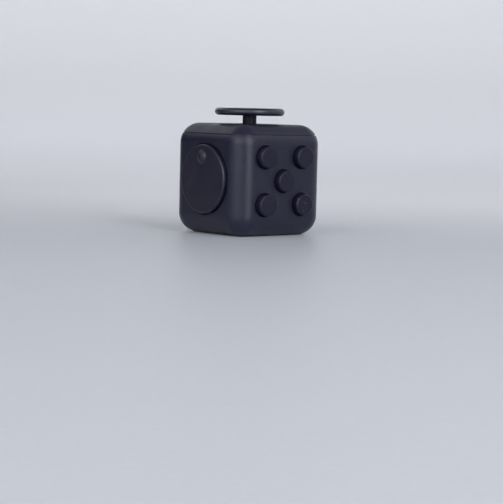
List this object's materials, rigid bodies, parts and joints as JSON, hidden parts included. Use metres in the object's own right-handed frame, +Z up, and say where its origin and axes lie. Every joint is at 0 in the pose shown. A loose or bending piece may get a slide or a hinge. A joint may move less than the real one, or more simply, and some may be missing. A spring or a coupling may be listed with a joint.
{
  "type": "fidget cube",
  "caption": "Palm-size fidget cube with a tilting disc joystick, spinning dial, push buttons, rocker switch, click wheels, rolling ball and a thumb dish.",
  "frame": {"origin": "centre of the base, on the surface that the cube rests on", "axes": "+Z up through the joystick; dial on -Y, buttons on +X, rocker on -X, wheels and ball on +Y, thumb dish on -Z"},
  "size_m": [0.0369, 0.0366, 0.0377],
  "materials": {
    "case_plastic": "soft-touch black",
    "control_plastic": "fine satin black",
    "frame_plastic": "natural moulded grey",
    "silicone": "translucent grey silicone",
    "steel": "plated steel"
  },
  "bodies": {
    "case": {"case_shell": "case_plastic", "top_cover": "case_plastic", "joystick_housing": "frame_plastic", "joystick_spring": "steel", "joystick_housing_screws": "steel", "click_dome_top_left": "steel", "click_dome_centre": "steel", "click_dome_bottom_right": "steel", "soft_dome_top_right": "silicone", "soft_dome_bottom_left": "silicone", "switch_plate": "frame_plastic", "switch_plate_screws": "steel", "rocker_pin": "steel", "rocker_frame": "frame_plastic", "rocker_leaf_spring": "steel", "rocker_frame_screws": "steel", "wheel_axle": "steel", "wheel_click_spring": "steel", "roll_bracket": "frame_plastic", "roll_bracket_screws": "steel", "ball_spring": "steel"},
    "gimbal": {"gimbal_ring": "steel", "gimbal_pins": "steel"},
    "joystick": {"joystick_cap": "control_plastic", "joystick_stem": "control_plastic", "joystick_dome": "control_plastic", "joystick_cross_pin": "steel", "joystick_foot": "frame_plastic"},
    "dial": {"dial": "control_plastic", "dial_retainer": "steel", "dial_screw": "steel"},
    "button_top_left": {"button_top_left": "control_plastic"},
    "button_top_right": {"button_top_right": "control_plastic"},
    "button_centre": {"button_centre": "control_plastic"},
    "button_bottom_left": {"button_bottom_left": "control_plastic"},
    "button_bottom_right": {"button_bottom_right": "control_plastic"},
    "rocker": {"rocker": "control_plastic"},
    "wheel_left": {"wheel_left": "control_plastic"},
    "wheel_middle": {"wheel_middle": "control_plastic"},
    "wheel_right": {"wheel_right": "control_plastic"},
    "ball_cup": {"ball_cup": "frame_plastic"},
    "ball": {"ball": "control_plastic"}
  },
  "joints": [
    {"name": "joystick_tilt_x", "type": "hinge", "parent": "case", "child": "gimbal", "pos_m": [0, 0, 0.028], "axis": [1, 0, 0], "range_deg": [-8.5, 8.5], "stiffness_Nm_per_rad": 0.05, "deforming": ["joystick_spring"]},
    {"name": "joystick_tilt_y", "type": "hinge", "parent": "gimbal", "child": "joystick", "pos_m": [0, 0, 0.028], "axis": [0, 1, 0], "range_deg": [-8.5, 8.5], "stiffness_Nm_per_rad": 0.05},
    {"name": "dial_spin", "type": "hinge", "parent": "case", "child": "dial", "pos_m": [0, -0.0155, 0.0165], "axis": [0, -1, 0], "continuous": true},
    {"name": "press_top_left", "type": "slide", "parent": "case", "child": "button_top_left", "axis": [-1, 0, 0], "range_m": [0, 0.0011], "stiffness_N_per_m": 500, "springref_m": -0.002, "deforming": ["click_dome_top_left"]},
    {"name": "press_top_right", "type": "slide", "parent": "case", "child": "button_top_right", "axis": [-1, 0, 0], "range_m": [0, 0.0011], "stiffness_N_per_m": 500, "springref_m": -0.002, "deforming": ["soft_dome_top_right"]},
    {"name": "press_centre", "type": "slide", "parent": "case", "child": "button_centre", "axis": [-1, 0, 0], "range_m": [0, 0.0011], "stiffness_N_per_m": 500, "springref_m": -0.002, "deforming": ["click_dome_centre"]},
    {"name": "press_bottom_left", "type": "slide", "parent": "case", "child": "button_bottom_left", "axis": [-1, 0, 0], "range_m": [0, 0.0011], "stiffness_N_per_m": 500, "springref_m": -0.002, "deforming": ["soft_dome_bottom_left"]},
    {"name": "press_bottom_right", "type": "slide", "parent": "case", "child": "button_bottom_right", "axis": [-1, 0, 0], "range_m": [0, 0.0011], "stiffness_N_per_m": 500, "springref_m": -0.002, "deforming": ["click_dome_bottom_right"]},
    {"name": "rocker_flip", "type": "hinge", "parent": "case", "child": "rocker", "pos_m": [-0.0132, 0, 0.0165], "axis": [0, 1, 0], "range_deg": [0, 14], "deforming": ["rocker_leaf_spring"]},
    {"name": "wheel_left_spin", "type": "hinge", "parent": "case", "child": "wheel_left", "pos_m": [0.0044, 0.0127, 0.0215], "axis": [1, 0, 0], "continuous": true},
    {"name": "wheel_middle_spin", "type": "hinge", "parent": "case", "child": "wheel_middle", "pos_m": [0, 0.0127, 0.0215], "axis": [1, 0, 0], "continuous": true},
    {"name": "wheel_right_spin", "type": "hinge", "parent": "case", "child": "wheel_right", "pos_m": [-0.0044, 0.0127, 0.0215], "axis": [1, 0, 0], "continuous": true},
    {"name": "ball_press", "type": "slide", "parent": "case", "child": "ball_cup", "axis": [0, -1, 0], "range_m": [0, 0.0008], "stiffness_N_per_m": 500, "springref_m": -0.002, "deforming": ["ball_spring"]},
    {"name": "ball_roll", "type": "hinge", "parent": "ball_cup", "child": "ball", "pos_m": [0, 0.0136, 0.0105], "axis": [1, 0, 0], "continuous": true}
  ]
}
